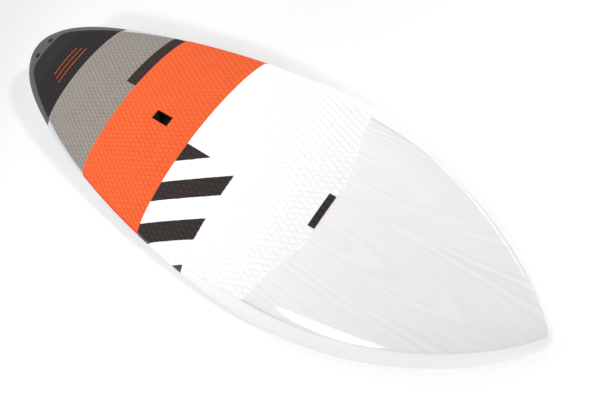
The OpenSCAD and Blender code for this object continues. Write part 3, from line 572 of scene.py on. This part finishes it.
points, faces = joined([stripe(k) for k in range(stripes["count"])])
tailStripes = addPiece("tailStripes", points, faces, [stripeFoam], sharp=crease["trim"])
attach(tailStripes, "board")
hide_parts("tail_stripes")
print("deck pad made")

# Nose veneer: rows from the pad's front edge to the nose, closer at the tip, columns closer at the sides
veneer = dict(thick=1.2, sunk=0.4, tipFrom=0.9, tipShare=0.098, tipPower=1.7)
tipRows = 1 - (1 - np.linspace(0, 1, 25)[1:]) ** veneer["tipPower"]
alongShare = np.concatenate([
    np.linspace(0, veneer["tipFrom"], 46), veneer["tipFrom"] + veneer["tipShare"] * tipRows])
acrossShare = np.sin(np.linspace(-math.pi / 2, math.pi / 2, 65))
veneerRear = pad["end"] + halfSeam - sweepAt(acrossShare)
veneerXs = veneerRear + (veneerEnd - veneerRear) * alongShare[:, None]
sideWidth = veneerWidth(veneerXs)
plan = np.stack([veneerXs, acrossShare * sideWidth], -1).reshape(-1, 2)
points, faces = closedSheet(plan, gridFaces(len(alongShare), len(acrossShare))[:, ::-1],
                            flush(plan) + veneer["thick"], flush(plan) - veneer["sunk"])
noseVeneer = addPiece("noseVeneer", points, faces, [materials["nose_veneer"]],
                      plan=np.vstack([plan, plan]), sharp=crease["trim"])
toEdge = np.tile(((1 - np.abs(acrossShare)) * sideWidth).ravel() * mm, 2)  # distance to the panel's side edge
edgeField = noseVeneer.data.attributes.new("toEdge", "FLOAT", "POINT")
edgeField.data.foreach_set("value", toEdge.astype(np.float32))
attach(noseVeneer, "board")
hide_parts("nose_veneer")
print("veneer made")

# Hull: one smooth skin round deck, rails and bottom, painted by station along the rails, the white rail beside the
# grey block in painted shade
paint = dict(tailGrey="#4B4D4F", rearRailShade="#C3C6C9", middleOrange="#E03C12", black="#1C1B1B", below=0.3)
hullRows = dict(ends=(0, 1, 2.5, 5, 8, 12, 16, 20), spans=(  # spans as (from, to, number of stations)
    (board["endRound"], 200, 19), (200, pad["rear"], 15), (pad["rear"], pad["middle"], 22),
    (pad["middle"], pad["front"], 24), (pad["front"], pad["end"], 32), (pad["end"], 2400, 30),
    (2400, 2518, 14)))
endRows = np.array(hullRows["ends"])
hullXs = np.unique(np.concatenate([
    endRows, *[np.linspace(*span) for span in hullRows["spans"]], board["length"] - endRows]))
lean = np.radians(np.linspace(90, -90, 73))  # deck columns, port rail to starboard rail
tuckTurn = np.radians(np.arange(84, 0, -7))  # columns of the rail's rounded underside
flatShare = np.linspace(-1, 1, 15)
stations = hullXs[:, None]
wide, flat = halfWidth(stations), flatHalf(stations)
tucked = flat + (wide - flat) * np.sin(tuckTurn)
acrossBottom = np.concatenate([-tucked, flat * flatShare, tucked[:, ::-1]], 1)
acrossDeck = wide * np.sin(lean)
ring = np.concatenate([
    np.stack(np.broadcast_arrays(stations, acrossDeck, deck(stations, acrossDeck)), -1),
    np.stack(np.broadcast_arrays(stations, acrossBottom, under(stations, acrossBottom)), -1)], 1)
rows, columns = ring.shape[:2]
hullFaces = gridFaces(rows, columns, closed=True)
faceRow, faceColumn = np.divmod(np.arange(len(hullFaces)), columns)
keepFace = np.ones(len(hullFaces), bool)
hullPoints, hullPolygons = [ring.reshape(-1, 3)], []


# block of the grid refilled round its holes, each hole the mouth of a pocket that goes in by a depth
def patch(xSpan, columnSpan, holes, surface, inward, grow=0.01):
    rowLow, rowHigh = [int(np.argmin(np.abs(hullXs - x))) for x in xSpan]
    columnLow, columnHigh = columnSpan
    block = ring[rowLow:rowHigh + 1, columnLow:columnHigh + 1, :2]
    border = np.vstack([block[0, :-1], block[:-1, -1], block[-1, :0:-1], block[:0:-1, 0]])
    plan, faces = triangulate([border, *holes], list(block[1:-1]),
                              lambda p: within(p, border) & ~inAny(p, holes))
    inRows = (faceRow >= rowLow) & (faceRow < rowHigh)
    inColumns = (faceColumn >= columnLow) & (faceColumn < columnHigh)
    keepFace[inRows & inColumns] = False
    z = surface(plan[:, 0], plan[:, 1])
    edges = rimEdges(faces, len(plan))
    grown = [hole + (hole - hole.mean(0)) * grow for hole in holes]
    edges = edges[inAny(plan[edges].mean(1), grown)]  # the rim of the holes alone
    n, first = len(plan), sum(map(len, hullPoints))
    wall = np.stack([edges[:, 0], edges[:, 0] + n, edges[:, 1] + n, edges[:, 1]], -1)
    if inward > 0:
        faces, wall = faces[:, ::-1], wall[:, ::-1]
    hullPoints.append(np.vstack([np.c_[plan, z], np.c_[plan, z + inward]]))
    hullPolygons.extend([*(faces + first).tolist(), *(wall + first).tolist()])


def rectangle(x, y, length, width, turn=0.0):  # four corners about the middle, turned
    corners = np.array([[-1, -1], [1, -1], [1, 1], [-1, 1]]) * [length / 2, width / 2]
    c, s = math.cos(turn), math.sin(turn)
    return corners @ np.array([[c, s], [-s, c]]) + [x, y]


plugs = dict(x=70, y=48, radius=14.3, pocket=24, block=(40, 100), blockColumns=(14, 58))
sideBox = dict(x=400, y=178, length=118.6, width=30.6, toe=2, cant=5)
plugHoles = [circle * plugs["radius"] + [plugs["x"], side * plugs["y"]] for side in (1, -1)]
patch(plugs["block"], plugs["blockColumns"], plugHoles, deck, -plugs["pocket"])
cupHole = rectangle(handle["x"], handle["cupShift"], handle["cupLength"], handle["cupWidth"])
patch(handle["block"], handle["blockColumns"], [cupHole], deck, -handle["pocket"])
boxHoles = [rectangle(finBox["x"], 0, finBox["length"] + finBox["gap"], finBox["width"] + finBox["gap"])] + [
    rectangle(sideBox["x"], side * sideBox["y"], sideBox["length"], sideBox["width"],
              -side * math.radians(sideBox["toe"])) for side in (1, -1)]
bottomColumns = (len(lean) + finBox["blockEdge"], columns - 1 - finBox["blockEdge"])
patch(finBox["block"], bottomColumns, boxHoles, under, finBox["pocket"])
endCaps = [list(range(columns))[::-1], list(range((rows - 1) * columns, rows * columns))]
hullPolygons = hullFaces[keepFace].tolist() + endCaps + hullPolygons
allPoints = np.vstack(hullPoints)
faceX, faceZ = np.array([allPoints[v].mean(0) for v in hullPolygons])[:, [0, 2]].T
onRail = faceZ > apex(faceX) - paint["below"] * board["apex"] * thickness(faceX)
zone, finishes = np.zeros(len(hullPolygons), int), [whiteLacquer]
# the white rail beside the grey block takes a light grey that stands for painted shade
for name, tone, aft, fore in (("dark grey rail paint", "tailGrey", -math.inf, pad["rear"]),
                              ("orange rail paint", "middleOrange", pad["middle"], pad["front"]),
                              ("white rail paint with painted shade", "rearRailShade", pad["rear"], pad["middle"])):
    zone[onRail & (faceX > aft) & (faceX < fore)] = len(finishes)
    finishes.append(plain(name, paint[tone], 0.45, specular=0.22))  # sprayed, a soft satin gloss
hull = addPiece("hull", allPoints, hullPolygons, finishes, faceMaterial=zone)
mended(hull, merge["hull"])
hull.data.set_sharp_from_angle(angle=math.radians(crease["hull"]))
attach(hull, "board")
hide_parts("deck_shell", "bottom_shell")

# Painted ends of the slanting bars on the starboard rail
railPaint = dict(bars=(2, 3), end=1700, rows=(0.4, 1, 2, 4, 7, 11, 16, 24), edge=0.05, above=0.25, sunk=0.4,
                 out=0.2, inside=0.3)
railXs = np.linspace(pad["front"], railPaint["end"], 120)


def railLine(inset):  # the starboard rail's outline, moved in
    return np.c_[railXs, inset - halfWidth(railXs)]


railLoop = np.vstack([railLine(railPaint["edge"]), np.c_[railXs, -coverWidth(railXs)][::-1]])


def railBar(k):  # end of bar k on the rail: its face a little above the deck's height, its back a bit below
    loop = barLoop(k, 0.0)
    plan, faces = triangulate([railLoop, loop], [railLine(row) for row in railPaint["rows"]],
                              lambda p: within(p, railLoop) & within(p, loop))
    level = deck(plan[:, 0], plan[:, 1])
    points, around = closedSheet(plan, faces, level + railPaint["above"], level - railPaint["sunk"])
    points[:, 1] += np.repeat([-railPaint["out"], railPaint["inside"]], len(plan))
    return points, around


points, faces = joined([railBar(k) for k in railPaint["bars"]])
railBars = addPiece("railBars", points, faces, [lacquer("black lacquer", paint["black"])],
                    sharp=crease["trim"])
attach(railBars, "board")
print("hull made")

# Fins
finShape = dict(plan=2.4, taper=0.22, rake=1.5, foil=2.6, tip=6, edge=0.6, rootGap=0.4, tabRoot=2,
                rowPower=1.8)


# blade: the chord shrinks by plan power and taper and is set back by the rake power; the foil's thickness is
# the root of u times one less u, from the front edge at u = 0
def finBlade(chord, depth, sweep, thick):
    s = 1 - (1 - np.linspace(0, 1, 40)) ** finShape["rowPower"]
    u = (1 - np.cos(np.linspace(0, math.pi, 25))) / 2
    shrink = np.sqrt(np.maximum(0, 1 - s ** finShape["plan"])) * (1 - finShape["taper"] * s)
    c = np.maximum(finShape["tip"], chord * shrink)[:, None]
    x = c / 2 - u * c - sweep * s[:, None] ** finShape["rake"]
    y = np.maximum(finShape["edge"], thick * c / chord * finShape["foil"] * np.sqrt(u) * (1 - u)) / 2
    z = np.broadcast_to(-np.maximum(finShape["rootGap"], depth * s)[:, None], x.shape)
    points = np.concatenate([np.stack([x, y, z], -1), np.stack([x, -y, z], -1)[:, ::-1]], 1)
    n, m = points.shape[:2]
    caps = [list(range(m)), list(range((n - 1) * m, n * m))[::-1]]
    return points.reshape(-1, 3), gridFaces(n, m, closed=True)[:, ::-1].tolist() + caps


def box(low, high):  # eight corners, x slowest and z fastest, and six faces
    points = np.stack(np.meshgrid(*zip(low, high), indexing="ij"), -1).reshape(-1, 3)
    return points, [[0, 1, 3, 2], [4, 6, 7, 5], [0, 4, 5, 1], [2, 3, 7, 6], [0, 2, 6, 4], [1, 5, 7, 3]]


def axisTurn(axis, angle):  # rotation matrix about x, y or z
    c, s = math.cos(angle), math.sin(angle)
    return np.array(dict(x=[[1, 0, 0], [0, c, -s], [0, s, c]], y=[[c, 0, s], [0, 1, 0], [-s, 0, c]],
                         z=[[c, -s, 0], [s, c, 0], [0, 0, 1]])[axis])


def seated(points, x, y, cant=0.0, toe=0.0):  # fin box's axes to the board's: cant, toe, the rocker's slope
    matrix = axisTurn("y", -slopeOf(belly, x)) @ axisTurn("z", toe) @ axisTurn("x", cant)
    return (points + [0, 0, finBox["sink"]]) @ matrix.T + [x, y, float(belly(x))]


centre = dict(chord=150, depth=203, sweep=125, thick=9, tab=(146, 9.2, 20), ear=(20, 4.6, 4.6))
length, width, height = centre["tab"]
earLong, earLow, earHigh = centre["ear"]
points, faces = joined([
    finBlade(centre["chord"], centre["depth"], centre["sweep"], centre["thick"]),
    box((-length / 2, -width / 2, -finShape["tabRoot"]), (length / 2, width / 2, height)),
    box((length / 2, -width / 2, earLow), (length / 2 + earLong, width / 2, earLow + earHigh))])
centreFin = addPiece("centreFin", seated(points, finBox["x"], 0), faces, [materials["fin_composite"]],
                     sharp=crease["trim"])
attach(centreFin, "centre_fin")
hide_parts("centre_fin")
sideFin = dict(chord=108, depth=112, sweep=58, thick=6, tab=(104, 6, 15))
length, width, height = sideFin["tab"]
points, faces = joined([
    finBlade(sideFin["chord"], sideFin["depth"], sideFin["sweep"], sideFin["thick"]),
    box((-length / 2, -width / 2, -finShape["tabRoot"]), (length / 2, width / 2, height))])
for side, name, node in ((1, "sideFinPort", "side_fin_port"), (-1, "sideFinStarboard", "side_fin_starboard")):
    placed = seated(points, sideBox["x"], side * sideBox["y"], side * math.radians(sideBox["cant"]),
                    -side * math.radians(sideBox["toe"]))
    made = addPiece(name, placed, faces, [materials["fin_composite"]], sharp=crease["trim"])
    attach(made, "board")
    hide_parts(node)
print("fins made")

# Fittings keep their CAD solids and take the record's material slots, save the leash plugs in dark grey nylon
slots = {p["node"]: p["material_slot"] for p in frame["record"]["subparts"]}
for node, solid in frame["nodes"].items():
    if not solid.hide_render:
        solid.data.materials.clear()
        solid.data.materials.append(plugNylon if node == "leash_plugs" else materials[slots[node]])
print("fittings finished")

# Floor, lights and camera
studioFloor = dict(size=40, drop=0.2 * mm, glow=(0.085, 0.25), near=-0.3, far=1.0)  # glows more at the nose
bpy.ops.mesh.primitive_plane_add(size=studioFloor["size"])
floor = bpy.context.object
floor.name = "floor"
floor.location.z = -studioFloor["drop"]
floorMaterial, tree, surface = newMaterial("lit white studio floor", {
    "Base Color": colour("#E0E0E0"), "Roughness": 0.4, "Specular IOR Level": 0.25,
    "Emission Color": colour("#FFFFFF")})
where = addNode(tree, "ShaderNodeSeparateXYZ", {}, {
    "Vector": addNode(tree, "ShaderNodeTexCoord", {}, {}).outputs["Object"]})
glow = addNode(tree, "ShaderNodeMapRange", {"interpolation_type": "SMOOTHSTEP"}, {
    "Value": where.outputs["X"], "From Min": studioFloor["near"], "From Max": studioFloor["far"],
    "To Min": studioFloor["glow"][0], "To Max": studioFloor["glow"][1]})
tree.links.new(glow.outputs["Result"], surface.inputs["Emission Strength"])
floor.data.materials.append(floorMaterial)
world = bpy.data.worlds.new("studio")
world.use_nodes = True
sky = dict(middle=0.76, change=0.2, brightSide=(-0.4, 0.75, 0.53))  # brighter towards the bright side
toward = addNode(world.node_tree, "ShaderNodeVectorMath", {"operation": "DOT_PRODUCT"}, {
    0: addNode(world.node_tree, "ShaderNodeTexCoord", {}, {}).outputs["Generated"], 1: sky["brightSide"]})
level = addNode(world.node_tree, "ShaderNodeMath", {"operation": "MULTIPLY_ADD"}, {
    0: toward.outputs["Value"], 1: sky["change"], 2: sky["middle"]})
backdrop = world.node_tree.nodes["Background"]
backdrop.inputs["Color"].default_value = (1, 1, 1, 1)
world.node_tree.links.new(level.outputs[0], backdrop.inputs["Strength"])
bpy.context.scene.world = world


def addLamp(name, kind, place, turn, **settings):  # lamp with its settings, placed and turned
    made = bpy.data.objects.new(name, bpy.data.lights.new(name, kind))
    for key, value in settings.items():
        setattr(made.data, key, value)
    made.location = place
    made.rotation_mode = "QUATERNION"
    made.rotation_quaternion = turn
    bpy.context.scene.collection.objects.link(made)


def shadowLine(shift):  # direction of light whose shadows fall by this shift per unit of height
    return Vector((*shift, -1.0))


def stripTurn(place, target, along):  # looks from place to target, its long side nearest to a direction
    back = (Vector(place) - Vector(target)).normalized()
    side = (Vector(along) - back * back.dot(Vector(along))).normalized()
    return Matrix((side, back.cross(side), back)).transposed().to_quaternion()


portKey = dict(shift=(-2.8, -0.73), strength=1.75, spread=3)
addLamp("port key", "SUN", (0, 0, 0), shadowLine(portKey["shift"]).to_track_quat("-Z", "Y"),
        energy=portKey["strength"], angle=math.radians(portKey["spread"]))
starboardKey = dict(target=(-0.8, 0.0, 0.2), shift=(-0.82, 1.2), distance=6.0, cone=30, radius=0.37,
                    power=520)
fall = shadowLine(starboardKey["shift"])
spotPlace = Vector(starboardKey["target"]) - fall.normalized() * starboardKey["distance"]
addLamp("starboard key", "SPOT", spotPlace, fall.to_track_quat("-Z", "Y"), energy=starboardKey["power"],
        shadow_soft_size=starboardKey["radius"], spot_size=math.radians(starboardKey["cone"]), spot_blend=1.0)
stripLamps = {
    "starboard strip": dict(place=(-0.37, -1.7, 2.5), target=(0.72, -0.27, 0.2), along=(0.98, 0.19, 0),
                            size=(0.86, 0.35), power=6),
    "port strip": dict(place=(0.05, 2.75, 2.5), target=(0.95, 0.15, 0.2), along=(0.74, -0.68, 0),
                       size=(1.6, 0.1), power=2.5)}
for name, lamp in stripLamps.items():
    addLamp(name, "AREA", lamp["place"], stripTurn(lamp["place"], lamp["target"], lamp["along"]),
            shape="ELLIPSE", size=lamp["size"][0], size_y=lamp["size"][1], energy=lamp["power"])

view = dict(place=(1.37001, -0.18054, 1.13687), turn=(0.90348, 0.16012, 0.29531, 0.26624),
            lens=27.876, sensor=36, nearest=0.02)
camera = bpy.data.objects.new("camera", bpy.data.cameras.new("camera"))
camera.data.lens = view["lens"]
camera.data.sensor_width = view["sensor"]
camera.data.clip_start = view["nearest"]
camera.location = view["place"]
camera.rotation_mode = "QUATERNION"
camera.rotation_quaternion = Quaternion(view["turn"]).normalized()
bpy.context.scene.collection.objects.link(camera)
bpy.context.scene.camera = camera
bpy.context.scene.view_settings.view_transform = "Standard"
print("stage made")

bpy.context.view_layer.update()
